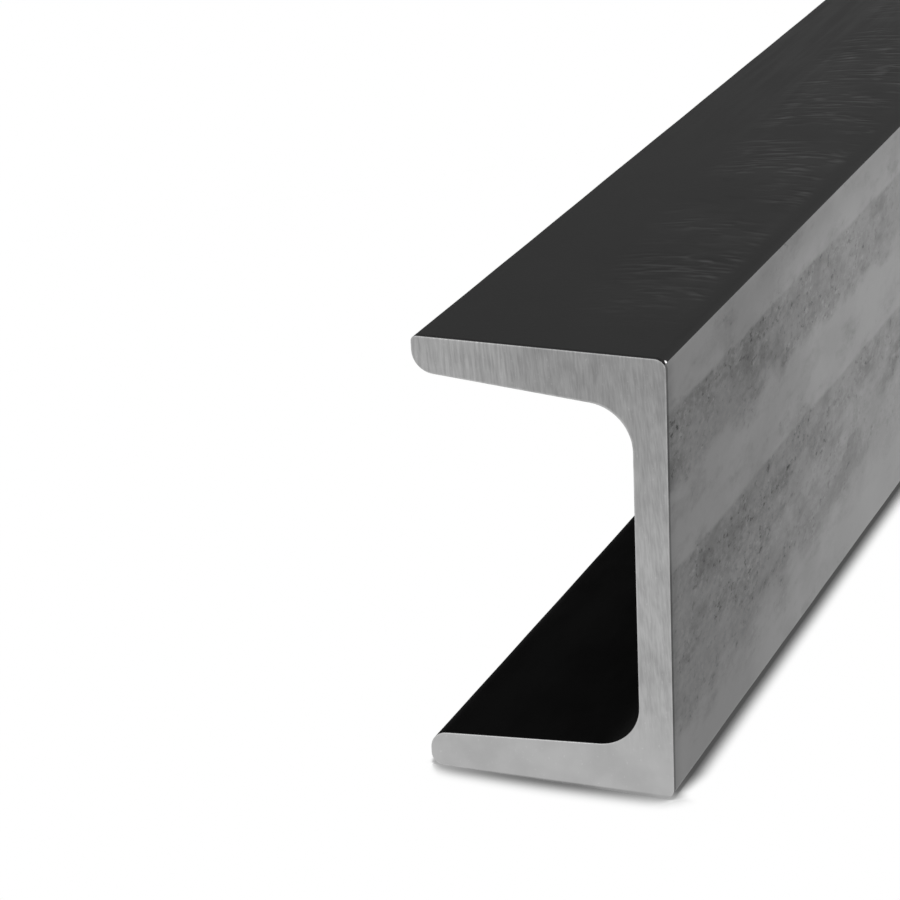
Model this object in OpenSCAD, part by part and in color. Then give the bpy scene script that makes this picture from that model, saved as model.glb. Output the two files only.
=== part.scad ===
// Hot-rolled steel channel with tapered flanges, one straight bar sawn square at both ends.
// The bar runs along Y and stands on its lower flange, with the back of the web facing +X.
// The origin is the centre of the bar's box, at the level of the surface that it stands on.

/* [Section] */
// Depth of the section, over both flanges
depth = 80; // [60:1:160]
// Width of each flange, from the back of the web to the toe
flange_w = 45; // [35:1:80]
// Thickness of the web
web_t = 6; // [4:0.5:10]
// Thickness of each flange at half its width
flange_t = 8; // [6:0.5:12]
// Taper of the inner flange faces, in percent
flange_taper = 8; // [0:1:12]

/* [Rolled corners] */
// Radius of the root, where the web meets each flange
root_r = 8; // [2:0.5:14]
// Radius of the inner corner of each toe
toe_r = 4; // [1:0.25:6]
// Radius of the outer corner of each toe
toe_edge_r = 1; // [0.5:0.25:3]
// Radius of each heel, where the back of the web meets a flange
heel_r = 2; // [0.5:0.25:5]

/* [Length] */
// Length of the bar between its sawn ends
length = 1000; // [250:50:6000]

/* [Hidden] */
$fn = 96;

// The flange is measured at half its width, which is x = 0, so the taper runs out from there.
back_x = flange_w / 2;
toe_x = -flange_w / 2;
web_x = back_x - web_t;
function flange_t_at(x) = flange_t + flange_taper / 100 * x;

// The toe's inner corner keeps within what its outer corner leaves of the toe.
toe_t = flange_t_at(toe_x);
toe_inner_r = min(toe_r, toe_t - toe_edge_r);

// The cutters for the space between the flanges reach this far past the toes.
past_toes = 5;

// The four corners of the upper flange, which the lower one mirrors.
heel = [back_x, depth];
toe_outer = [toe_x, depth];
toe_inner = [toe_x, depth - toe_t];
root = [web_x, depth - flange_t_at(web_x)];

// Each arc is drawn this much past its radius, so that it crosses the straight faces cleanly
// instead of only touching them.
arc_overlap = 0.001;

function unit(v) = v / norm(v);

// What a corner loses or gains when it is rounded: the area between the sharp corner and the arc
// of radius r that touches the two edges, which leave the corner towards the points a and b.
module corner_blend(corner, a, b, r) {
    u = unit(a - corner);
    v = unit(b - corner);
    half_angle = acos(u * v) / 2;
    run = r / tan(half_angle);
    centre = corner + unit(u + v) * r / sin(half_angle);
    difference() {
        polygon([corner, corner + u * run, centre, corner + v * run]);
        translate(centre) circle(r + arc_overlap);
    }
}

// Draws its children for the upper flange and again for the lower one.
module both_flanges() {
    children();
    translate([0, depth]) mirror([0, 1]) children();
}

// The space between the flanges, with its two roots filled to their radius.
module trough() {
    mouth_x = toe_x - past_toes;
    mouth_z = depth - flange_t_at(mouth_x);
    difference() {
        polygon([
            [web_x, depth - root.y],
            root,
            [mouth_x, mouth_z],
            [mouth_x, depth - mouth_z],
        ]);
        both_flanges() corner_blend(root, toe_inner, [web_x, depth / 2], root_r);
    }
}

// The rolled section, with its width along X and its depth along Y.
module section() {
    difference() {
        translate([toe_x, 0]) square([flange_w, depth]);
        trough();
        both_flanges() {
            corner_blend(heel, toe_outer, [back_x, 0], heel_r);
            corner_blend(toe_outer, heel, toe_inner, toe_edge_r);
            corner_blend(toe_inner, root, toe_outer, toe_inner_r);
        }
    }
}

module channel() {
    color("#55585a")
        rotate([90, 0, 0])
            linear_extrude(length, center = true)
                section();
}

channel();
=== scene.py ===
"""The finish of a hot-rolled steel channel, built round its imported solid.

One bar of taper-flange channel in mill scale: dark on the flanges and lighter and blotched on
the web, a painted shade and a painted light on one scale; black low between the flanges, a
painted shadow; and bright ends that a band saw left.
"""

import math

import bpy
import numpy as np
from bpy.props import FloatProperty, FloatVectorProperty, PointerProperty
from mathutils import Matrix, Vector


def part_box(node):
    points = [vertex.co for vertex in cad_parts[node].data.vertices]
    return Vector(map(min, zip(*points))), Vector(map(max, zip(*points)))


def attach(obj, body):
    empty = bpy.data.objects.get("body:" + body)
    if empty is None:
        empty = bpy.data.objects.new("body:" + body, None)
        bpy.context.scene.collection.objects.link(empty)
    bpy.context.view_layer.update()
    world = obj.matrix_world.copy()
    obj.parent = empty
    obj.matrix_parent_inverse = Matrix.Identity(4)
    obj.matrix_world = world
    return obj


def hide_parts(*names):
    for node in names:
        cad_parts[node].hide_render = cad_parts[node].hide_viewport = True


bl_info = {
    "name": "Steel channel finish",
    "version": (1, 0, 0),
    "blender": (4, 5, 0),
    "location": "3D View > Sidebar > Channel",
    "description": "Dresses a hot-rolled steel channel in mill scale and sawn ends, and lights it",
    "category": "Object",
}

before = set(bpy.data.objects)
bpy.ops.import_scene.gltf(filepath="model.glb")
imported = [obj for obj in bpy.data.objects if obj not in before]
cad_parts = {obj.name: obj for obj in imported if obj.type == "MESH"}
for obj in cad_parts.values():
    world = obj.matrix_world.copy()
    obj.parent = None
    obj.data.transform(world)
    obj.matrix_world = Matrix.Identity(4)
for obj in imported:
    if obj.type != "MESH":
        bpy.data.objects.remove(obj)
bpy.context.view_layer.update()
CAD_LOW, CAD_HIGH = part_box("channel")

MM = 0.001


def srgb(hex_colour):
    """The linear colour of an sRGB hex value such as "#8a8a8a": each part is brought back through
    the sRGB curve, which is a straight line near black and a power of 2.4 above it."""
    parts = [int(hex_colour[i : i + 2], 16) / 255 for i in (1, 3, 5)]
    linear = [p / 12.92 if p <= 0.04045 else ((p + 0.055) / 1.055) ** 2.4 for p in parts]
    return (*linear, 1.0)


# ---------------------------------------------------------------------------
# Sizes and colours that a user would change
# ---------------------------------------------------------------------------


def length(name, description, default):
    return FloatProperty(name=name, description=description, default=default, unit="LENGTH", precision=5)


def colour(name, description, hex_colour):
    return FloatVectorProperty(
        name=name, description=description, default=srgb(hex_colour), subtype="COLOR", size=4, min=0, max=1
    )


class ChannelSection(bpy.types.PropertyGroup):
    """The rolled section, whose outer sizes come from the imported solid."""

    depth: length("Depth", "Over both flanges", CAD_HIGH.z - CAD_LOW.z)
    flange_w: length("Flange width", "From the back of the web to the toes", CAD_HIGH.x - CAD_LOW.x)
    bar_l: length("Length", "Between the sawn ends", CAD_HIGH.y - CAD_LOW.y)
    web_t: length("Web thickness", "Thickness of the web", 6 * MM)
    flange_t: length("Flange thickness", "Thickness of a flange at half its width", 8 * MM)
    taper: FloatProperty(name="Taper", description="Slope of the inner flange faces", default=0.08)
    root_r: length("Root radius", "Where the web meets each flange", 8 * MM)
    toe_r: length("Toe radius", "Inner corner of each toe", 4 * MM)
    toe_edge_r: length("Toe edge radius", "Outer corner of each toe", 1 * MM)
    worn_toe_r: length("Worn toe radius", "Inner corner of the lower toe, as rolled", 3.2 * MM)
    worn_edge_r: length("Worn edge radius", "Outer corner of the lower toe, as rolled", 2.2 * MM)
    heel_r: length("Heel radius", "Where the back of the web meets a flange", 2 * MM)
    edge_break: length("Edge break", "Radius that deburring left round each sawn end", 0.13 * MM)
    waviness: length("Waviness", "How far the rolled faces dip from true", 0.08 * MM)


class ChannelFinish(bpy.types.PropertyGroup):
    """The colours of the scale and of the sawn steel. The scale's tones by face, near the ends and low
    between the flanges hold painted light and shade.
    """

    # The flanges' dark tone and the web's light one are one scale: painted shade where it faces up, and
    # painted light where it faces the side.
    flange_scale_painted_shade: colour("Flange scale", "Mill scale outside the flanges", "#2b2b2b")
    # Painted shade: near the sawn ends the scale's tones are darker, in place of light that grows along
    # the bar.
    flange_end_painted_shade: colour("Flange ends", "The same scale near the sawn ends", "#262626")
    web_scale_painted_light: colour("Web scale", "Smooth scale on the back of the web", "#828282")
    web_end_painted_shade: colour("Web ends", "The same scale near the sawn ends", "#6b6b6b")
    # Between the flanges the scale is lighter than outside, a painted fill light, and near-black low down,
    # a painted shadow.
    inside_scale: colour("Inside scale", "Unworn scale between the flanges", "#484848")
    inside_painted_shadow: colour("Inside, low", "The same scale where oil and dust gather", "#080808")
    # The sawn steel is lighter at the foot and darker at the upper heel.
    sawn_light: colour("Sawn steel", "Bare steel, cut clean, at the foot of the section", "#a9a9a9")
    sawn_mid: colour("Sawn steel, middle", "Bare steel half-way up the web", "#a3a3a3")
    sawn_darker: colour("Sawn steel, dull", "Bare steel at the upper heel, where the saw came in", "#8f8f8f")
    # The deburred edge's bright line is a painted highlight.
    sawn_edge_highlight: colour("Deburred edge", "Bright edge round the sawn ends", "#b8b8b8")


class ChannelStudio(bpy.types.PropertyGroup):
    """The light and the camera."""

    sky: FloatProperty(name="Sky", description="Strength of the even light from all round", default=0.5)
    key_power: FloatProperty(name="Key lamp", description="Lamp beside the web, in watts", default=9.0)
    front_power: FloatProperty(
        name="Front lamp", description="Lamp before the near end, in watts", default=6.0
    )
    lens: FloatProperty(name="Lens", description="Focal length in millimetres", default=124.73)


# ---------------------------------------------------------------------------
# The section's outline
# ---------------------------------------------------------------------------


def unit(vector):
    return vector / np.linalg.norm(vector)


def straight(start, end, steps):
    """A line: start plus a share t of the way to end, for t from 0 up to, but not at, 1."""
    t = np.arange(steps)[:, None] / steps
    return start + t * (end - start)


def rounded(before, corner, after, radius, steps):
    """The arc that touches both edges of a corner. Its centre is on the corner's bisector, at
    radius over the sine of half the corner's angle, and its points turn about that centre at an
    even rate, from one tangent point to the other."""
    to_before, to_after = unit(before - corner), unit(after - corner)
    half = math.acos(float(np.dot(to_before, to_after))) / 2
    run = radius / math.tan(half)
    centre = corner + unit(to_before + to_after) * radius / math.sin(half)
    first = corner + to_before * run - centre
    last = corner + to_after * run - centre
    turn = math.atan2(first[0] * last[1] - first[1] * last[0], float(np.dot(first, last)))
    angle = math.atan2(first[1], first[0]) + turn * np.linspace(0, 1, steps + 1)
    return centre + radius * np.stack([np.cos(angle), np.sin(angle)], 1)


# Steps along the five stretches of each half face: toe, toe corner, flange, inner corner or heel, web.
STEPS = (1, 8, 18, 14, 16)
POLE = STEPS[0] + STEPS[1]


def half_face(toe_middle, toe_corner, toe_radius, corner, radius, web_middle):
    """From the middle of a toe to the middle of the web: a line, an arc, a line, an arc, a line."""
    toe_arc = rounded(toe_middle, toe_corner, corner, toe_radius, STEPS[1])
    arc = rounded(toe_corner, corner, web_middle, radius, STEPS[3])
    return np.concatenate(
        [
            straight(toe_middle, toe_arc[0], STEPS[0]),
            toe_arc[:-1],
            straight(toe_arc[-1], arc[0], STEPS[2]),
            arc[:-1],
            straight(arc[-1], web_middle, STEPS[4]),
            web_middle[None],
        ]
    )


def section_outline(s):
    """The outer and inner faces of the section as two rows of points, x and z, that run side by
    side from the upper toe to the lower one. The lower half mirrors the upper, apart from its
    toe, which the rolls left rounder."""
    back_x, toe_x = s.flange_w / 2, -s.flange_w / 2
    web_x = back_x - s.web_t

    def flange_under(x):
        return s.depth - s.flange_t - s.taper * x

    toe_t = s.depth - flange_under(toe_x)
    toe_outer, toe_inner = np.array([toe_x, s.depth]), np.array([toe_x, s.depth - toe_t])
    heel, root = np.array([back_x, s.depth]), np.array([web_x, flange_under(web_x)])
    web_back, web_inside = np.array([back_x, s.depth / 2]), np.array([web_x, s.depth / 2])

    def half(edge_r, toe_r):
        """The upper half's two faces, from the toe's middle, half-way between its corner arcs."""
        toe_r = min(toe_r, toe_t - edge_r)
        inner_run = toe_r / math.tan((math.pi / 2 + math.atan(s.taper)) / 2)
        toe_middle = np.array([toe_x, (s.depth - edge_r + s.depth - toe_t + inner_run) / 2])
        outer = half_face(toe_middle, toe_outer, edge_r, heel, s.heel_r, web_back)
        inner = half_face(toe_middle, toe_inner, toe_r, root, s.root_r, web_inside)
        return outer, inner

    def whole(upper, mirrored):
        """An upper half, and below it the mirror image of another."""
        return np.concatenate([upper, mirrored[-2::-1] * (1, -1) + (0, s.depth)])

    outer, inner = half(s.toe_edge_r, s.toe_r)
    worn_outer, worn_inner = half(s.worn_edge_r, s.worn_toe_r)
    return whole(outer, worn_outer), whole(inner, worn_inner)


# ---------------------------------------------------------------------------
# The bar's surface
# ---------------------------------------------------------------------------

ROW_SPACING = 3.4 * MM
# Shares of the way from a sawn face's edge to the middle line of its section.
CAP_SHARES = (1.0, 0.8, 0.6, 0.4, 0.2, 0.06, 0.0)
EDGE_STEPS = 3
# How far past each sawn end's rounded edge the first row of the rolled faces lies.
SUPPORT = 0.25 * MM


def path_rows(s):
    """The bar as rows that run from the middle line of the near sawn face out to its edge, along
    the bar, and back in over the far face. Each row has its place y, its inset, which is how far
    it lies inside the outline, and its share of the way in to the section's middle line. The edge
    is a quarter circle: inset = r (1 - sin a) and y = r (1 - cos a)."""
    a = np.linspace(0, math.pi / 2, EDGE_STEPS + 1)[1:]
    cap = np.array(CAP_SHARES)
    edge = s.edge_break
    y = np.concatenate([0 * cap, edge * (1 - np.cos(a))])
    inset = np.concatenate([0 * cap + edge, edge * (1 - np.sin(a))])
    share = np.concatenate([cap, 0 * a])
    start = edge + SUPPORT
    count = int(round((s.bar_l - 2 * start) / ROW_SPACING / 2)) * 2
    middle = np.linspace(start, s.bar_l - start, count + 1)
    zeros = 0 * middle
    return (
        np.concatenate([y, middle, s.bar_l - y[::-1]]) - s.bar_l / 2,
        np.concatenate([inset, zeros, inset[::-1]]),
        np.concatenate([share, zeros, share[::-1]]),
    )


# The waves of the rolled faces: the length of each along the bar, its length round the section,
# and its phase.
DIP_WAVES = ((173 * MM, 210 * MM, 0.4), (71 * MM, 90 * MM, 2.1), (29 * MM, 47 * MM, 4.0))
DIPS_FADE = 30 * MM


def roll_dips(s, around, along):
    """How far the rolled faces dip from true: the mean of three long sine waves along the bar,
    each turned a little by the distance round the section, as a share of the waviness from 0
    to 1. It fades out towards both ends, so that the sawn outline stays true."""
    waves = sum(
        np.sin(2 * math.pi * (along / wave + around / turn) + phase)
        for wave, turn, phase in DIP_WAVES
    )
    fade = np.clip((s.bar_l / 2 - np.abs(along)) / DIPS_FADE, 0, 1)
    return s.waviness * (1 + waves / len(DIP_WAVES)) / 2 * fade


# Points of the outline this near the floor belong to the face that the bar stands on.
ON_FLOOR = 0.01 * MM


def channel_surface(s):
    """The whole bar as one surface of two parameters: j goes round the section's outline and k
    along the rows of path_rows. A point is the outline's point j, moved in along its normal by
    row k's inset and the dips, then drawn towards the section's middle line by row k's share.
    The face that the bar stands on has no dips. Returns the points, the faces, and what the
    finish needs to know of each."""
    outer, inner = section_outline(s)
    across = len(outer)
    outline = np.concatenate([outer, inner[-2:0:-1]])
    around = len(outline)
    tangent = np.roll(outline, -1, 0) - np.roll(outline, 1, 0)
    normal = np.stack([-tangent[:, 1], tangent[:, 0]], 1)
    normal /= np.linalg.norm(normal, axis=1)[:, None]
    steps = np.linalg.norm(np.roll(outline, -1, 0) - outline, axis=1)
    travelled = np.concatenate([[0], np.cumsum(steps)])

    # The middle line ends short of each toe, in one point that closes the rounded toe as a fan.
    partner = np.concatenate([np.arange(across), np.arange(across - 2, 0, -1)])
    partner = partner.clip(POLE, across - 1 - POLE)
    middle_line = ((outer + inner) / 2)[partner]

    y, inset, share = path_rows(s)
    rows = len(y)
    standing = outline[:, 1] < ON_FLOOR
    dips = roll_dips(s, travelled[None, :-1], y[:, None]) * ~standing
    depth_in = inset[:, None] + dips * (share == 0)[:, None] * (inset == 0)[:, None]
    section = outline[None] - normal[None] * depth_in[..., None]
    section = section + (middle_line[None] - section) * share[:, None, None]
    points = np.stack(
        [section[..., 0], np.broadcast_to(y[:, None], (rows, around)), section[..., 1]], -1
    )

    faces, face_row, face_place = grid_faces(rows, around, partner)
    return {
        "points": points.reshape(-1, 3),
        "faces": faces,
        "face_row": face_row,
        "face_place": face_place,
        "around": around,
        "travelled": travelled,
        "along": y,
        "on_cap": share > 0,
        "on_edge": inset > 0,
        "edge_highlight_by_facing": edge_highlight_by_facing(normal),
    }


def grid_faces(rows, around, partner):
    """The faces between neighbouring rows and neighbouring points round the section, with the row
    and the place round that each begins at. The first and last rows are the middle line itself,
    where each point and its partner across the section are one."""
    number = np.arange(rows * around).reshape(rows, around)
    number[0], number[-1] = number[0, partner], number[-1, partner]
    k, j = np.arange(rows - 1), np.arange(around)
    grid_k, grid_j = (grid.ravel() for grid in np.meshgrid(k, j, indexing="ij"))
    corners = [(0, 0), (0, 1), (1, 1), (1, 0)]
    faces = np.stack([number[grid_k + dk, (grid_j + dj) % around] for dk, dj in corners], 1)
    return faces, grid_k, grid_j


def edge_highlight_by_facing(normal):
    """How bright the painted highlight on the deburred edge is at each point of the outline, from 0
    to 1: bright where it faces the toes or downwards, half as bright on the back of the web, and
    dull on the upper faces, by the share of the normal that points there."""
    dull = np.clip(normal[:, 0], 0, 1) / 2 + np.clip(normal[:, 1], 0, 1)
    return 1 - np.clip(dull, 0, 1)


def build_mesh(name, surface):
    """A mesh of the surface's faces. A face with two corners in one point becomes a triangle, and
    points that no face uses are left out."""
    faces = surface["faces"]
    same = faces == np.roll(faces, -1, 1)
    kept = ~same
    used = np.unique(faces)
    renumber = np.zeros(faces.max() + 1, np.int64)
    renumber[used] = np.arange(len(used))
    mesh = bpy.data.meshes.new(name)
    mesh.vertices.add(len(used))
    mesh.vertices.foreach_set("co", surface["points"][used].astype(np.float32).ravel())
    counts = kept.sum(1)
    mesh.loops.add(int(counts.sum()))
    mesh.loops.foreach_set("vertex_index", renumber[faces[kept]].astype(np.int32))
    mesh.polygons.add(len(faces))
    starts = np.concatenate([[0], np.cumsum(counts)[:-1]])
    mesh.polygons.foreach_set("loop_start", starts.astype(np.int32))
    mesh.update(calc_edges=True)
    mesh.polygons.foreach_set("use_smooth", np.ones(len(faces), bool))
    return mesh, used, kept


FLANGE, WEB, INSIDE, SAWN = range(4)
# Of each heel's steps, those that still wear the flange's finish with its painted shade; the rest wear the
# web's painted light.
UPPER_HEEL_STEPS = 9
LOWER_HEEL_STEPS = 3


def face_finishes(surface):
    """Which finish each face wears, by its place round the section and along the rows. The flange's finish
    holds painted shade and the web's painted light, so their border on each heel is where the painted
    shade gives way to the painted light.
    """
    place, row = surface["face_place"], surface["face_row"]
    toe, toe_corner, flange = STEPS[:3]
    to_heel = toe + toe_corner + flange
    outer_faces = 2 * sum(STEPS)
    toe_turn = toe + toe_corner // 2
    web_begins = to_heel + UPPER_HEEL_STEPS
    web_ends = outer_faces - to_heel - LOWER_HEEL_STEPS
    on_edge = surface["on_edge"]
    finish = np.full(len(place), INSIDE)
    finish[place < outer_faces + toe_turn] = FLANGE
    finish[(place >= web_begins) & (place < web_ends)] = WEB
    finish[place >= surface["around"] - toe_turn] = FLANGE
    finish[on_edge[row] | on_edge[row + 1]] = SAWN
    return finish


def unrolled_map(surface, s):
    """Each face corner's place on a flat map: the rolled faces unrolled, with their two halves
    above each other, and both sawn faces at a larger scale beside them."""
    margin = 0.008
    girth = surface["travelled"][-1]
    scale = (1 - 3 * margin) / (2 * girth)
    half_l = s.bar_l / 2
    rolled_w = half_l * scale
    sawn_scale = (1 - rolled_w - 3 * margin) / s.flange_w
    k, j = surface["face_row"][:, None], surface["face_place"][:, None]
    corner_k = k + np.array([0, 0, 1, 1])
    corner_j = j + np.array([0, 1, 1, 0])
    y = surface["along"][corner_k]
    far = (surface["along"][k] + surface["along"][k + 1] > 0) & np.ones_like(corner_k, bool)
    u = margin + (y + half_l * ~far) * scale
    v = margin + surface["travelled"][corner_j] * scale + far * (girth * scale + margin)
    on_cap = (surface["on_cap"][k] | surface["on_cap"][k + 1])[:, 0]
    place = surface["points"][surface["faces"]]
    cap_u = 2 * margin + rolled_w + (place[..., 0] + s.flange_w / 2) * sawn_scale
    cap_v = margin + place[..., 2] * sawn_scale + far * (s.depth * sawn_scale + margin)
    u[on_cap], v[on_cap] = cap_u[on_cap], cap_v[on_cap]
    return np.stack([u, v], -1)


# ---------------------------------------------------------------------------
# Materials
# ---------------------------------------------------------------------------


MATH = "ShaderNodeMath"
RANGE = "ShaderNodeMapRange"
MIX = "ShaderNodeMix"
NOISE = "ShaderNodeTexNoise"
SMOOTH = {"interpolation_type": "SMOOTHSTEP"}
COLOURS = {"data_type": "RGBA"}
WHITE = (1, 1, 1, 1)


def add(tree, kind, inputs=None, stops=None, **settings):
    """Adds a node with its settings and, on a colour ramp, its stops. Then each input, given by
    its name or by its number among those in use, gets its value or its link. A node given as a
    value is linked by its first output in use."""
    made = tree.nodes.new(kind)
    for name, value in settings.items():
        setattr(made, name, value)
    if stops:
        set_stops(made.color_ramp.elements, stops)
    in_use = [socket for socket in made.inputs if socket.enabled]
    by_name = {socket.name: socket for socket in reversed(in_use)}
    for key, value in (inputs or {}).items():
        socket = in_use[key] if isinstance(key, int) else by_name[key]
        if isinstance(value, bpy.types.Node):
            value = next(output for output in value.outputs if output.enabled)
        if isinstance(value, bpy.types.NodeSocket):
            tree.links.new(value, socket)
        else:
            socket.default_value = value
    return made


def set_stops(elements, stops):
    """Gives a colour ramp its stops: pairs of a position and a colour or a grey level."""
    elements.remove(elements[1])
    for number, (position, value) in enumerate(stops):
        element = elements.new(position) if number else elements[0]
        element.position = position
        element.color = (value, value, value, 1) if isinstance(value, float) else value


def new_material(name):
    """An empty material, its node tree, each point's place on the bar, and that place's axes."""
    made = bpy.data.materials.new(name)
    made.use_nodes = True
    tree = made.node_tree
    tree.nodes.clear()
    place = add(tree, "ShaderNodeTexCoord").outputs["Object"]
    axes = add(tree, "ShaderNodeSeparateXYZ", {0: place}).outputs
    return made, tree, place, axes


def patches(tree, place, size, low, high, detail=2.0, roughness=0.5, turn=0.0, shift=0.0):
    """Soft patches whose size in millimetres along x, y and z is given, turned about y by some
    degrees, and moved along z by some millimetres where two patterns of a kind mustn't be alike:
    noise that is drawn out so that its stretch from low to high runs from 0 to 1."""
    scaled = add(
        tree,
        "ShaderNodeMapping",
        {
            "Vector": place,
            "Location": (0, 0, shift * MM),
            "Rotation": (0, math.radians(turn), 0),
            "Scale": [side * MM for side in size],
        },
        vector_type="TEXTURE",
    )
    noise = add(
        tree, NOISE, {"Vector": scaled, "Scale": 1.0, "Detail": detail, "Roughness": roughness}
    )
    return add(tree, RANGE, {0: noise, 1: low, 2: high}, **SMOOTH)


def from_end(tree, axes, s):
    """How far a point lies from the nearer sawn end, in metres: half the bar less its distance
    from the middle."""
    from_middle = add(tree, MATH, {0: axes["Y"]}, operation="ABSOLUTE")
    return add(tree, MATH, {0: s.bar_l / 2, 1: from_middle}, operation="SUBTRACT")


def toned(tree, base, changes, reach=1.0):
    """The base colour, lighter or darker by place: times 1 plus, within its reach, the sum of
    each pattern times its change."""
    total = 0.0
    for pattern, change in changes:
        total = add(tree, MATH, {0: pattern, 1: change, 2: total}, operation="MULTIPLY_ADD")
    tone = add(tree, MATH, {0: total, 1: reach, 2: 1.0}, operation="MULTIPLY_ADD")
    return add(tree, MIX, {0: 1.0, 1: base, 2: tone}, blend_type="MULTIPLY", **COLOURS)


def finish_off(tree, base, roughness, height, relief, **sockets):
    """Puts the shader on: colour and roughness from nodes, plain values for the rest, and a bump
    whose full height is relief, in metres."""
    bump = add(tree, "ShaderNodeBump", {"Height": height, "Distance": relief, "Strength": 1.0})
    shader = add(
        tree,
        "ShaderNodeBsdfPrincipled",
        {"Base Color": base, "Roughness": roughness, "Normal": bump, **sockets},
    )
    add(tree, "ShaderNodeOutputMaterial", {"Surface": shader})


def painted_burr_shadow(tree, end):
    """1 on the dark line that runs right beside each cut, a painted shadow of the burr, and 0 further in.
    """
    return add(tree, RANGE, {0: end, 1: 1.3 * MM, 2: 0.8 * MM}, **SMOOTH)


# The rubs across a flange bow towards the middle of the bar about this place, by this much.
RUB_MIDDLE_X = 14 * MM
RUB_BOW = 16.0
# The rubbed half widens away from the end, by a millimetre in 25.
RUB_WIDENS = 1 / 25
# Beside each pale stroke runs a dark one this far off, a painted shadow of the stroke.
RUB_SHADOW_OFFSET = 1.1 * MM


def rub_strokes(tree, axes, along=0.0):
    """Fine strokes across the flange, from 0 to 1, in loose clusters, and all moved this far
    along the bar: thin and long patches in a space that is bent along the bar by the square of
    the distance from the rubs' middle."""
    across = add(tree, MATH, {0: axes["X"], 1: RUB_MIDDLE_X}, operation="SUBTRACT")
    squared = add(tree, MATH, {0: across, 1: across}, operation="MULTIPLY")
    moved = add(tree, MATH, {0: axes["Y"], 1: along}, operation="SUBTRACT")
    bowed = add(tree, MATH, {0: squared, 1: RUB_BOW, 2: moved}, operation="MULTIPLY_ADD")
    bent = add(tree, "ShaderNodeCombineXYZ", {0: axes["X"], 1: bowed, 2: axes["Z"]})
    fine = patches(tree, bent, (8, 1.4, 20), 0.48, 0.72, 1.0)
    broad = patches(tree, bent, (5, 3, 20), 0.52, 0.76, 1.0, shift=300)
    strokes = add(tree, MATH, {0: fine, 1: broad}, operation="ADD")
    cluster = patches(tree, bent, (30, 10, 50), 0.36, 0.58, 1.0)
    return add(tree, MATH, {0: strokes, 1: cluster}, operation="MULTIPLY")


def rubbed_area(tree, axes, end):
    """Where the flange is rubbed, from 0 to 1: on the half beside the web, up to the heel, and
    not over the first stretch from either end."""
    widened = add(tree, MATH, {0: end, 1: RUB_WIDENS, 2: axes["X"]}, operation="MULTIPLY_ADD")
    beside_web = add(tree, RANGE, {0: widened, 1: -3 * MM, 2: 7 * MM}, **SMOOTH)
    off_heel = add(tree, RANGE, {0: axes["X"], 1: 20 * MM, 2: 17.5 * MM}, **SMOOTH)
    inboard = add(tree, RANGE, {0: end, 1: 10 * MM, 2: 45 * MM}, **SMOOTH)
    area = add(tree, MATH, {0: beside_web, 1: off_heel}, operation="MULTIPLY")
    return add(tree, MATH, {0: area, 1: inboard}, operation="MULTIPLY")


def flange_smears(tree, place, axes, end):
    """Streaks along the flange's other half, from 0 to 1, that begin well away from the ends."""
    smear = patches(tree, place, (2.6, 40, 10), 0.4, 0.66, 3.0)
    far = add(tree, RANGE, {0: end, 1: 90 * MM, 2: 210 * MM}, **SMOOTH)
    smear = add(tree, MATH, {0: smear, 1: far}, operation="MULTIPLY")
    toe_half = add(tree, RANGE, {0: axes["X"], 1: 3 * MM, 2: -5 * MM}, **SMOOTH)
    return add(tree, MATH, {0: smear, 1: toe_half}, operation="MULTIPLY")


# A painted glint: a white spot at the near upper heel. Its place from the corner of the bar's box,
# and how far it reaches.
GLINT_PLACE = (-0.38 * MM, 1.35 * MM, -0.82 * MM)
GLINT_REACH = 0.45 * MM


def painted_glint_spot(tree, place, s):
    """1 in the middle of the painted glint, and 0 past its reach."""
    middle = Vector((s.flange_w / 2, -s.bar_l / 2, s.depth)) + Vector(GLINT_PLACE)
    from_middle = add(tree, "ShaderNodeVectorMath", {0: place, 1: middle}, operation="DISTANCE")
    return add(tree, RANGE, {0: from_middle, 1: GLINT_REACH, 2: GLINT_REACH / 2}, **SMOOTH)


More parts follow.
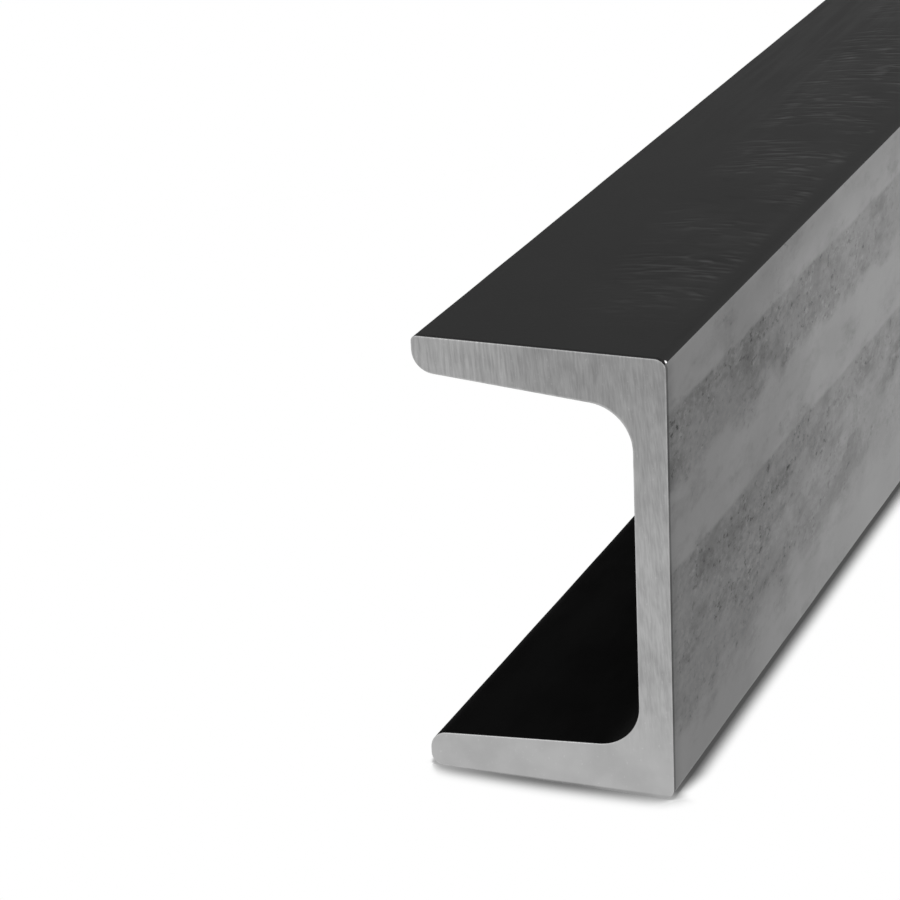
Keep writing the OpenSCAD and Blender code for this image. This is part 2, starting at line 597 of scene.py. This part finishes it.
def flange_scale_painted_shade(s, c):
    """Hot-rolled mill scale outside the flanges: a dry, blue-black oxide that skids and handling
    rubbed. It gives the eye a dark matt face, slightly clouded, with clusters of fine, bowed and
    paler strokes across the half beside the web, and faint streaks along the other half. Its dark
    tone is painted shade, as the web's lighter tone of the same scale is painted light. It darkens
    further towards each end, a painted shade too. The pale strokes are in part painted highlight,
    with a painted shadow beside each, and a white spot at the near heel is a painted glint."""
    made, tree, place, axes = new_material("hot_rolled_scale_flange_painted_shade")
    end = from_end(tree, axes, s)
    worn = rubbed_area(tree, axes, end)
    # The pale strokes are rubs in the scale and in part painted highlight; the dark ones beside them are
    # painted shadow.
    strokes = add(tree, MATH, {0: rub_strokes(tree, axes), 1: worn}, operation="MULTIPLY")
    stroke_shadow = rub_strokes(tree, axes, RUB_SHADOW_OFFSET)
    stroke_shadow = add(tree, MATH, {0: stroke_shadow, 1: worn}, operation="MULTIPLY")
    between = patches(tree, place, (6, 3.5, 10), 0.5, 0.7, 1.0)
    between = add(tree, MATH, {0: between, 1: worn}, operation="MULTIPLY")
    cloud = patches(tree, place, (14, 20, 14), 0.3, 0.7, 3.0)
    worn_cloud = add(tree, MATH, {0: worn, 1: cloud}, operation="MULTIPLY")
    # Painted shade: the flange darkens towards each end.
    away = add(tree, RANGE, {0: end, 1: 20 * MM, 2: 240 * MM})
    base = add(tree, MIX, {0: away, 1: c.flange_end_painted_shade, 2: c.flange_scale_painted_shade}, **COLOURS)
    changes = (
        (strokes, 0.6),
        (stroke_shadow, -0.24),
        (between, -0.1),
        (worn_cloud, 0.22),
        (cloud, 0.06),
        (flange_smears(tree, place, axes, end), 0.3),
        (painted_burr_shadow(tree, end), -0.4),
    )
    base = toned(tree, base, changes)
    # Painted highlight: a white glint at the near upper heel.
    base = add(tree, MIX, {0: painted_glint_spot(tree, place, s), 1: base, 2: WHITE}, **COLOURS)
    grit = add(tree, NOISE, {"Vector": place, "Scale": 1 / (0.7 * MM), "Detail": 2.0})
    height = add(tree, MATH, {0: strokes, 1: 0.5, 2: grit}, operation="MULTIPLY_ADD")
    roughness = add(tree, MATH, {0: strokes, 1: -0.1, 2: 0.72}, operation="MULTIPLY_ADD")
    finish_off(tree, base, roughness, height, 0.02 * MM, **{"Specular IOR Level": 0.05})
    return made


# Where the rough bands run along the web, as shares of the section's depth from the floor up.
# The rolls wore a crisp upper edge into each band, and a soft lower one.
ROUGH_BANDS = (
    (0.11, 0.0),
    (0.23, 0.74),
    (0.34, 0.55),
    (0.42, 0.65),
    (0.512, 0.82),
    (0.522, 0.2),
    (0.59, 0.05),
    (0.67, 0.05),
    (0.73, 0.8),
    (0.868, 0.8),
    (0.880, 0.2),
    (0.97, 0.05),
)


def rough_bands(tree, place, axes, end, s):
    """1 in the web's rough bands and 0 on its smooth scale: a ramp over the height, whose edges
    wander along the bar, with noise on top that makes the soft stretches ragged."""
    wander = add(tree, NOISE, {"Vector": place, "Scale": 1 / (60 * MM), "Detail": 2.0})
    height = add(tree, MATH, {0: wander, 1: 2 * MM, 2: axes["Z"]}, operation="MULTIPLY_ADD")
    share = add(tree, RANGE, {0: height, 1: 1 * MM, 2: s.depth + 1 * MM})
    bands = add(tree, "ShaderNodeValToRGB", {0: share}, stops=ROUGH_BANDS)
    ragged = patches(tree, place, (12, 16, 6), 0.3, 0.7, 4.0, 0.6)
    broken = add(tree, MATH, {0: ragged, 1: 0.6, 2: bands}, operation="MULTIPLY_ADD")
    rough = add(tree, RANGE, {0: broken, 1: 0.3, 2: 1.1}, **SMOOTH)
    # The lower rough band thins out from its lower edge, away from the ends.
    inboard = add(tree, RANGE, {0: end, 1: 60 * MM, 2: 150 * MM, 4: 0.6}, **SMOOTH)
    below = add(tree, RANGE, {0: axes["Z"], 1: 34 * MM, 2: 16 * MM}, **SMOOTH)
    thinned = add(tree, MATH, {0: inboard, 1: below}, operation="MULTIPLY")
    kept = add(tree, MATH, {0: 1.0, 1: thinned}, operation="SUBTRACT")
    return add(tree, MATH, {0: rough, 1: kept}, operation="MULTIPLY")


# A dark smudge on the upper rough band: its place from the near end of the section's base line,
# and how far it reaches along each axis.
SMUDGE_PLACE = (0.0, 42 * MM, 67 * MM)
SMUDGE_REACH = (10 * MM, 15 * MM, 9 * MM)


def smudge_patch(tree, place, s):
    """The smudge's cover, from 0 to 1: an oval that fades outwards, with ragged noise on it."""
    middle = Vector((s.flange_w / 2, -s.bar_l / 2, 0)) + Vector(SMUDGE_PLACE)
    scaled = add(
        tree,
        "ShaderNodeMapping",
        {"Vector": place, "Location": middle, "Scale": SMUDGE_REACH},
        vector_type="TEXTURE",
    )
    from_middle = add(tree, "ShaderNodeVectorMath", {0: scaled}, operation="LENGTH")
    oval = add(tree, RANGE, {0: from_middle, 1: 1.0, 2: 0.3}, **SMOOTH)
    ragged = patches(tree, place, (6, 8, 4), 0.36, 0.56, 4.0, 0.6)
    return add(tree, MATH, {0: oval, 1: ragged}, operation="MULTIPLY")


def grain_strength(tree, place, end, reach):
    """How strong the fine grain and the pits are: they come in groups, keep to the reach of the
    rough bands, and are strongest near the ends."""
    group = patches(tree, place, (8, 16, 8), 0.42, 0.6, 2.0)
    calm = add(tree, RANGE, {0: end, 1: 50 * MM, 2: 110 * MM, 3: 1.0, 4: 0.7}, **SMOOTH)
    lively = add(tree, MATH, {0: group, 1: 0.6, 2: 0.45}, operation="MULTIPLY_ADD")
    lively = add(tree, MATH, {0: lively, 1: calm}, operation="MULTIPLY")
    return add(tree, MATH, {0: lively, 1: reach}, operation="MULTIPLY")


def dull_strip(tree, axes, end):
    """1 on the strip above the upper rough band, which dulls from 20 to 45 mm off the end."""
    high = add(tree, RANGE, {0: axes["Z"], 1: 70 * MM, 2: 78 * MM}, **SMOOTH)
    inboard = add(tree, RANGE, {0: end, 1: 20 * MM, 2: 45 * MM}, **SMOOTH)
    return add(tree, MATH, {0: high, 1: inboard}, operation="MULTIPLY")


def web_scale_painted_light(s, c):
    """Hot-rolled mill scale on the back of the web, worn by the rolls and by stacking. It gives
    the eye smooth grey bands with rougher, darker and pitted ones between them along the bar. The
    smooth grey is painted light, as the flanges' darker tone of the same scale is painted shade. It
    is darker over the last 100 mm before each sawn end, a painted shade, and dark right beside the
    cut, a painted shadow of the burr. Its pale flecks are painted highlight."""
    made, tree, place, axes = new_material("hot_rolled_scale_web_painted_light")
    end = from_end(tree, axes, s)
    rough = rough_bands(tree, place, axes, end, s)
    reach = add(tree, MATH, {0: rough, 1: 0.9, 2: 0.1}, operation="MULTIPLY_ADD")
    cloud = patches(tree, place, (12, 20, 11), 0.34, 0.66, 3.0)
    blotch = patches(tree, place, (10, 20, 8), 0.5, 0.66, 4.0, 0.6)
    grain = patches(tree, place, (1.2, 2.1, 1.2), 0.34, 0.64, 5.0, 0.75)
    pit = patches(tree, place, (1.4, 2.4, 1.4), 0.57, 0.67, 4.0, 0.6)
    # The pale flecks are painted highlight, standing for the lit rims of pits.
    fleck = patches(tree, place, (1, 1.8, 1), 0.6, 0.72, 3.0, shift=7)
    smudge = smudge_patch(tree, place, s)

    # Painted shade: the web darkens towards each end.
    wander = add(tree, MATH, {0: cloud, 1: 20 * MM, 2: end}, operation="MULTIPLY_ADD")
    away = add(tree, RANGE, {0: wander, 1: 30 * MM, 2: 130 * MM}, **SMOOTH)
    base = add(tree, MIX, {0: away, 1: c.web_end_painted_shade, 2: c.web_scale_painted_light}, **COLOURS)
    lively = grain_strength(tree, place, end, reach)
    base = toned(tree, base, ((grain, -0.34), (pit, -0.55), (fleck, 0.3)), lively)
    base = toned(tree, base, ((blotch, -0.28), (smudge, -0.22)), reach)
    low = add(tree, RANGE, {0: axes["Z"], 1: 14 * MM, 2: 6 * MM}, **SMOOTH)
    near = add(tree, RANGE, {0: end, 1: 5 * MM, 2: 1 * MM}, **SMOOTH)
    changes = (
        (rough, -0.09),
        (cloud, 0.04),
        (low, 0.03),
        (dull_strip(tree, axes, end), -0.16),
        (smudge, -0.12),
        (near, -0.18),
        (painted_burr_shadow(tree, end), -0.5),
    )
    base = toned(tree, base, changes)

    pitted = add(tree, MATH, {0: pit, 1: lively}, operation="MULTIPLY")
    roughness = add(tree, MATH, {0: rough, 1: 0.15, 2: 0.55}, operation="MULTIPLY_ADD")
    finish_off(tree, base, roughness, pitted, -0.01 * MM, **{"Specular IOR Level": 0.2})
    return made


def inside_scale(s, c):
    """Mill scale between the flanges, where nothing has rubbed it. It gives the eye a dull, dark
    grey and slightly clouded oxide, lighter than outside the flanges, a painted fill light, and
    nearly black on the lower flange, a painted shadow."""
    made, tree, place, axes = new_material("hot_rolled_scale_inside_painted_light_and_shadow")
    cloud = patches(tree, place, (15, 40, 15), 0.3, 0.7, 4.0, 0.6)
    # Painted shadow: near-black on the lower flange, rising to the scale's painted fill light higher up.
    high = add(tree, RANGE, {0: axes["Z"], 1: s.flange_t, 2: 3 * s.flange_t}, **SMOOTH)
    base = add(tree, MIX, {0: high, 1: c.inside_painted_shadow, 2: c.inside_scale}, **COLOURS)
    base = toned(tree, base, ((cloud, -0.3),))
    grit = add(tree, NOISE, {"Vector": place, "Scale": 1 / (0.8 * MM), "Detail": 2.0})
    roughness = add(tree, MATH, {0: cloud, 1: 0.1, 2: 0.7}, operation="MULTIPLY_ADD")
    finish_off(tree, base, roughness, grit, 0.02 * MM, **{"Specular IOR Level": 0.01})
    return made


def saw_furrows(tree, place, toe_side, upper):
    """A band saw's furrows, from 0 to 1, about a millimetre apart and a little off upright. The
    lower flange was cut last and smoothly, and the upper toe most coarsely."""
    furrow = patches(tree, place, (0.55, 10, 9), 0.34, 0.66, 1.0, turn=-3)
    coarse = add(tree, MATH, {0: toe_side, 1: 0.65, 2: 0.35}, operation="MULTIPLY_ADD")
    coarse = add(tree, MATH, {0: coarse, 1: upper}, operation="MULTIPLY")
    return add(tree, MATH, {0: furrow, 1: coarse}, operation="MULTIPLY")


# The strip of painted shadow at the foot of the sawn face gets this much lower for each metre from the
# heel.
FOOT_NARROWS = 0.016


def foot_shadow_strip(tree, axes, from_heel):
    """1 on the strip of painted shadow at the foot of the face. It narrows to the toe."""
    height = add(tree, MATH, {0: from_heel, 1: FOOT_NARROWS, 2: axes["Z"]}, operation="MULTIPLY_ADD")
    return add(tree, RANGE, {0: height, 1: 0.9 * MM, 2: 0.5 * MM}, **SMOOTH)


def edge_highlight_line(tree, place, foot):
    """How bright the painted highlight on the deburred edge is: its brightness at that point of the
    outline, broken up by patches, and less on the painted shadow at the foot."""
    shine = add(tree, "ShaderNodeAttribute", attribute_name="sawn_edge_highlight").outputs["Fac"]
    broken = patches(tree, place, (2, 10, 2), 0.35, 0.65, 2.0)
    broken = add(tree, MATH, {0: broken, 1: 0.6, 2: 0.4}, operation="MULTIPLY_ADD")
    shine = add(tree, MATH, {0: shine, 1: broken}, operation="MULTIPLY")
    return add(tree, MATH, {0: shine, 1: foot}, operation="SUBTRACT", use_clamp=True)


def sawn_steel(s, c):
    """Bare mild steel as a band saw leaves it. It gives the eye a pale matt metal with fine,
    nearly upright furrows, darker at the upper heel and lighter towards the toes and the floor,
    with a painted shadow along its foot and a painted highlight, a slightly brighter, broken
    line, where the edge was deburred."""
    made, tree, place, axes = new_material("band_sawn_steel")
    from_heel = add(tree, MATH, {0: s.flange_w / 2, 1: axes["X"]}, operation="SUBTRACT")
    toe_side = add(tree, RANGE, {0: from_heel, 1: 21 * MM, 2: 32 * MM}, **SMOOTH)
    share = add(tree, RANGE, {0: axes["Z"], 2: s.depth})
    # Lighter at the foot, darker towards the upper heel.
    tones = ((0.1, c.sawn_light), (0.57, c.sawn_mid), (0.95, c.sawn_darker))
    base = add(tree, "ShaderNodeValToRGB", {0: share}, stops=tones)
    upper = add(tree, RANGE, {0: axes["Z"], 1: 4 * MM, 2: 22 * MM}, **SMOOTH)
    upper_toe = add(tree, MATH, {0: toe_side, 1: upper}, operation="MULTIPLY")

    cloud = patches(tree, place, (7, 10, 7), 0.32, 0.68, 3.0)
    patch = patches(tree, place, (1.8, 10, 5), 0.35, 0.65, 3.0, turn=-8)
    patch = add(tree, MATH, {0: patch, 1: upper}, operation="MULTIPLY")
    hair = patches(tree, place, (0.35, 10, 2.8), 0.4, 0.6, 1.0, turn=-5)
    hair = add(tree, MATH, {0: hair, 1: upper}, operation="MULTIPLY")
    fleck = patches(tree, place, (0.6, 10, 0.8), 0.66, 0.74, 1.0)
    furrows = saw_furrows(tree, place, toe_side, upper)
    foot = foot_shadow_strip(tree, axes, from_heel)
    # Painted shadow at the foot of the sawn face, deeper away from the heel.
    foot_shadow_depth = add(tree, RANGE, {0: from_heel, 2: 16 * MM, 3: 0.1, 4: 0.5})
    painted_foot_shadow = add(tree, MATH, {0: foot, 1: foot_shadow_depth}, operation="MULTIPLY")
    changes = (
        (painted_foot_shadow, -1.0),
        (upper_toe, 0.3),
        (upper, 0.05),
        (cloud, 0.12),
        (patch, -0.1),
        (furrows, -0.22),
        (hair, -0.1),
        (fleck, 0.12),
    )
    base = toned(tree, base, changes)
    # Painted highlight: a brighter line along the deburred edge.
    edge = edge_highlight_line(tree, place, foot)
    base = add(tree, MIX, {0: edge, 1: base, 2: c.sawn_edge_highlight}, **COLOURS)
    roughness = add(tree, MATH, {0: furrows, 1: 0.1, 2: 0.42}, operation="MULTIPLY_ADD")
    finish_off(tree, base, roughness, furrows, -0.02 * MM, Metallic=1.0)
    return made


# ---------------------------------------------------------------------------
# Pieces and stage
# ---------------------------------------------------------------------------


class CHANNEL_OT_bar(bpy.types.Operator):
    """Builds the rolled bar with its sawn ends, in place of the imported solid"""

    bl_idname = "channel.bar"
    bl_label = "Rolled bar"

    def execute(self, context):
        s, c = context.scene.channel_section, context.scene.channel_finish
        surface = channel_surface(s)
        mesh, used, kept = build_mesh("channel_bar", surface)
        for finish in (flange_scale_painted_shade(s, c), web_scale_painted_light(s, c), inside_scale(s, c), sawn_steel(s, c)):
            mesh.materials.append(finish)
        mesh.polygons.foreach_set("material_index", face_finishes(surface).astype(np.int32))
        flat_map = mesh.uv_layers.new(name="OFBake")
        flat_map.uv.foreach_set("vector", unrolled_map(surface, s)[kept].astype(np.float32).ravel())
        # The painted highlight on the deburred edge, by which way the edge faces.
        on_rim = surface["on_edge"] & ~surface["on_cap"]
        edge = (on_rim[:, None] * surface["edge_highlight_by_facing"][None]).ravel()
        attribute = mesh.attributes.new("sawn_edge_highlight", "FLOAT", "POINT")
        attribute.data.foreach_set("value", edge[used].astype(np.float32))
        mesh.validate()
        bar = bpy.data.objects.new("channel_bar", mesh)
        context.scene.collection.objects.link(bar)
        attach(bar, "root")
        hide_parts("channel")
        return {"FINISHED"}


def seen_white(tree, light_path):
    """1 for the rays that show the background: from the camera, in gloss and through glass."""
    seen = add(
        tree,
        MATH,
        {0: light_path["Is Camera Ray"], 1: light_path["Is Glossy Ray"]},
        operation="MAXIMUM",
    )
    return add(tree, MATH, {0: seen, 1: light_path["Is Transmission Ray"]}, operation="MAXIMUM")


# The shadow comes from how much of the space within this reach of the floor is open.
SHADOW_REACH = 6.5 * MM
SHADOW_RAYS = 32
# Beside the bar, beside its last stretch, and past its ends: how much is open where the shadow
# begins to fade, how much where it ends, and how bright its darkest part is.
FADE_BEGINS = (0.465, 0.37, 0.485)
FADE_ENDS = (0.825, 0.65, 0.995)
DARKEST = (0.082, 0.15, 0.165)
LAST_STRETCH = 12 * MM
# The values past an end take over from here, inside it.
PAST_END_BEGINS = 4 * MM
# Past an end the shadow begins to fade sooner towards the heel, and towards both corners it ends
# sooner and is lighter.
SOONER_AT_HEEL, SOONER_AT_CORNERS, LIGHTER_AT_CORNERS = -0.055, -0.08, 0.25
# Off a corner the bar hides less of the space. A share more is taken as hidden off the sharp
# heel, so that the shadow goes round it, and a share less off the rounded toe. Beside the toe
# only this part of the distance from the end counts, so that the share less reaches further.
TOE_GAIN, HEEL_GAIN = -0.5, 0.3
TOE_COUNTS = 0.25
# Distances outside the bar count as at least this much, so that none is divided by nought.
LEAST_OUTSIDE = 0.2 * MM


def corner_gain(tree, axes, end, s):
    """What share more of the space to take as hidden: all of the gain where a point is outside
    the bar both ways, and none where it is further inside one way than outside the other."""
    half = s.flange_w / 2
    beside = add(tree, MATH, {0: axes["X"]}, operation="ABSOLUTE")
    beside = add(tree, MATH, {0: beside, 1: half}, operation="SUBTRACT")
    past = add(tree, MATH, {0: end, 1: -1.0}, operation="MULTIPLY")
    counts = add(tree, RANGE, {0: axes["X"], 1: -half, 2: half, 3: TOE_COUNTS})
    lessened = add(tree, MATH, {0: past, 1: counts}, operation="MULTIPLY")
    past = add(tree, MATH, {0: past, 1: lessened}, operation="MAXIMUM")
    inner = add(tree, MATH, {0: beside, 1: past}, operation="MINIMUM")
    outer = add(tree, MATH, {0: beside, 1: past}, operation="MAXIMUM")
    outer = add(tree, MATH, {0: outer, 1: LEAST_OUTSIDE}, operation="MAXIMUM")
    share = add(tree, MATH, {0: inner, 1: outer}, operation="DIVIDE")
    corner = add(tree, RANGE, {0: share, 1: -1.0, 2: 0.0}, **SMOOTH)
    gain = add(tree, RANGE, {0: axes["X"], 1: -half, 2: half, 3: TOE_GAIN, 4: HEEL_GAIN})
    return add(tree, MATH, {0: corner, 1: gain}, operation="MULTIPLY")


def shadow_look(tree, s):
    """How open the space is where the shadow begins to fade and where it ends, how bright its
    darkest part is, and the gain at the corners. The first three change over the last stretch
    before an end of the bar, and once more past it, where they also go by the distance from the
    bar's middle plane: the first by its share of the half width, and the other two by that
    share's square."""
    place = add(tree, "ShaderNodeTexCoord").outputs["Object"]
    axes = add(tree, "ShaderNodeSeparateXYZ", {0: place}).outputs
    end = from_end(tree, axes, s)
    past_end = add(tree, RANGE, {0: end, 1: PAST_END_BEGINS, 2: 0.0}, **SMOOTH)
    half = s.flange_w / 2
    aside = add(tree, RANGE, {0: axes["X"], 1: -half, 2: half, 3: -1.0})
    squared = add(tree, MATH, {0: aside, 1: aside}, operation="MULTIPLY")

    def by_place(values, share, change):
        beside, last, past = values
        along = add(tree, RANGE, {0: end, 1: LAST_STRETCH, 2: 0.0, 3: beside, 4: last}, **SMOOTH)
        past = add(tree, MATH, {0: share, 1: change, 2: past}, operation="MULTIPLY_ADD")
        return add(tree, MIX, {0: past_end, 1: along, 2: past}, data_type="FLOAT")

    return (
        by_place(FADE_BEGINS, aside, SOONER_AT_HEEL),
        by_place(FADE_ENDS, squared, SOONER_AT_CORNERS),
        by_place(DARKEST, squared, LIGHTER_AT_CORNERS),
        corner_gain(tree, axes, end, s),
    )


PAPER = (0.8, 0.8, 0.8, 1)


def studio_floor(s):
    """White paper. It is seen as plain white apart from the shadow close to the bar, which
    comes from how much of the space close above each point is open, and it gives back the light
    that real paper does. In gloss it is plain white."""
    made = bpy.data.materials.new("white_paper")
    made.use_nodes = True
    tree = made.node_tree
    tree.nodes.clear()
    light_path = add(tree, "ShaderNodeLightPath").outputs
    space = add(
        tree, "ShaderNodeAmbientOcclusion", {"Distance": SHADOW_REACH}, samples=SHADOW_RAYS
    )
    begins, ends, darkest, gain = shadow_look(tree, s)
    hidden = add(tree, MATH, {0: 1.0, 1: space.outputs["AO"]}, operation="SUBTRACT")
    hidden = add(tree, MATH, {0: hidden, 1: gain, 2: hidden}, operation="MULTIPLY_ADD")
    open_space = add(tree, MATH, {0: 1.0, 1: hidden}, operation="SUBTRACT")
    shade = add(tree, RANGE, {0: open_space, 1: begins, 2: ends, 3: darkest}, **SMOOTH)
    shade = add(tree, MATH, {0: shade, 1: light_path["Is Glossy Ray"]}, operation="MAXIMUM")
    seen = add(tree, "ShaderNodeEmission", {"Color": shade, "Strength": 1.0})
    paper = add(tree, "ShaderNodeBsdfDiffuse", {"Color": PAPER})
    both = add(tree, "ShaderNodeMixShader", {0: seen_white(tree, light_path), 1: paper, 2: seen})
    add(tree, "ShaderNodeOutputMaterial", {"Surface": both})
    return made


def studio_sky(strength):
    """White all round for the rays that see it, and an even light of the given strength."""
    world = bpy.data.worlds.new("studio_sky")
    world.use_nodes = True
    tree = world.node_tree
    tree.nodes.clear()
    light_path = add(tree, "ShaderNodeLightPath").outputs
    seen = seen_white(tree, light_path)
    level = add(tree, MATH, {0: seen, 1: strength}, operation="MAXIMUM")
    sky = add(tree, "ShaderNodeBackground", {"Color": WHITE, "Strength": level})
    add(tree, "ShaderNodeOutputWorld", {"Surface": sky})
    return world


# Where each lamp stands, and the point of the bar that it lights.
KEY_PLACE, KEY_TARGET = (0.9, 0.2, 0.55), (0, -0.3, 0.04)
FRONT_PLACE, FRONT_TARGET = (-0.3, -1.7, 0.7), (0, -0.4, 0.04)
LAMP_SIDE = 0.7


def soft_lamp(name, place, target, power):
    """A square soft box that points at the target, and isn't seen by the camera itself."""
    lamp = bpy.data.lights.new(name, "AREA")
    lamp.size = LAMP_SIDE
    lamp.energy = power
    made = bpy.data.objects.new(name, lamp)
    made.location = place
    made.rotation_euler = (Vector(target) - Vector(place)).to_track_quat("-Z", "Y").to_euler()
    made.visible_camera = False
    bpy.context.scene.collection.objects.link(made)


# The camera stands before the near end, to the right of the bar and above it.
CAMERA_PLACE = (0.18016, -0.94789, 0.25236)
CAMERA_AZIMUTH = math.radians(23.674)
CAMERA_DOWN = math.radians(21.459)
CAMERA_ROLL = math.radians(-2.698)


def make_camera(lens):
    """A camera that looks along +Y, then is rolled, tilted down and turned by its azimuth."""
    data = bpy.data.cameras.new("camera")
    data.lens = lens
    data.sensor_width = 36.0
    camera = bpy.data.objects.new("camera", data)
    camera.matrix_world = (
        Matrix.Translation(CAMERA_PLACE)
        @ Matrix.Rotation(CAMERA_AZIMUTH, 4, "Z")
        @ Matrix.Rotation(math.pi / 2 - CAMERA_DOWN, 4, "X")
        @ Matrix.Rotation(CAMERA_ROLL, 4, "Z")
    )
    bpy.context.scene.collection.objects.link(camera)
    bpy.context.scene.camera = camera


FLOOR_HALF = 8.0
# The floor lies this far under the bar, so that their faces don't share a plane.
FLOOR_GAP = 0.1 * MM


def lay_floor(section):
    """One square face of white paper, centred under the bar."""
    mesh = bpy.data.meshes.new("floor")
    height = CAD_LOW.z - FLOOR_GAP
    corners = [(-1, -1), (1, -1), (1, 1), (-1, 1)]
    points = [(x * FLOOR_HALF, y * FLOOR_HALF, height) for x, y in corners]
    mesh.from_pydata(points, [], [(0, 1, 2, 3)])
    mesh.materials.append(studio_floor(section))
    floor = bpy.data.objects.new("floor", mesh)
    bpy.context.scene.collection.objects.link(floor)


class CHANNEL_OT_stage(bpy.types.Operator):
    """Lays the floor, and sets the sky, the lamps and the camera"""

    bl_idname = "channel.stage"
    bl_label = "Studio"

    def execute(self, context):
        studio = context.scene.channel_studio
        lay_floor(context.scene.channel_section)
        context.scene.world = studio_sky(studio.sky)
        soft_lamp("key_lamp", KEY_PLACE, KEY_TARGET, studio.key_power)
        soft_lamp("front_lamp", FRONT_PLACE, FRONT_TARGET, studio.front_power)
        make_camera(studio.lens)
        context.scene.view_settings.view_transform = "Standard"
        return {"FINISHED"}


class VIEW3D_PT_channel(bpy.types.Panel):
    """Lists the channel's sizes, colours and steps"""

    bl_label = "Steel channel"
    bl_space_type = "VIEW_3D"
    bl_region_type = "UI"
    bl_category = "Channel"

    def draw(self, context):
        scene = context.scene
        for group in (scene.channel_section, scene.channel_finish, scene.channel_studio):
            box = self.layout.box()
            for name in group.__annotations__:
                box.prop(group, name)
        for operator in OPERATORS:
            self.layout.operator(operator.bl_idname)


GROUPS = {
    "channel_section": ChannelSection,
    "channel_finish": ChannelFinish,
    "channel_studio": ChannelStudio,
}
OPERATORS = (CHANNEL_OT_bar, CHANNEL_OT_stage)


def register():
    for cls in (*GROUPS.values(), *OPERATORS, VIEW3D_PT_channel):
        bpy.utils.register_class(cls)
    for name, group in GROUPS.items():
        setattr(bpy.types.Scene, name, PointerProperty(type=group))


def unregister():
    for name in GROUPS:
        delattr(bpy.types.Scene, name)
    for cls in (VIEW3D_PT_channel, *reversed(OPERATORS), *reversed(GROUPS.values())):
        bpy.utils.unregister_class(cls)


def main():
    """Makes the bar and its studio."""
    register()
    bpy.ops.channel.bar()
    bpy.ops.channel.stage()


if __name__ == "__main__":
    main()
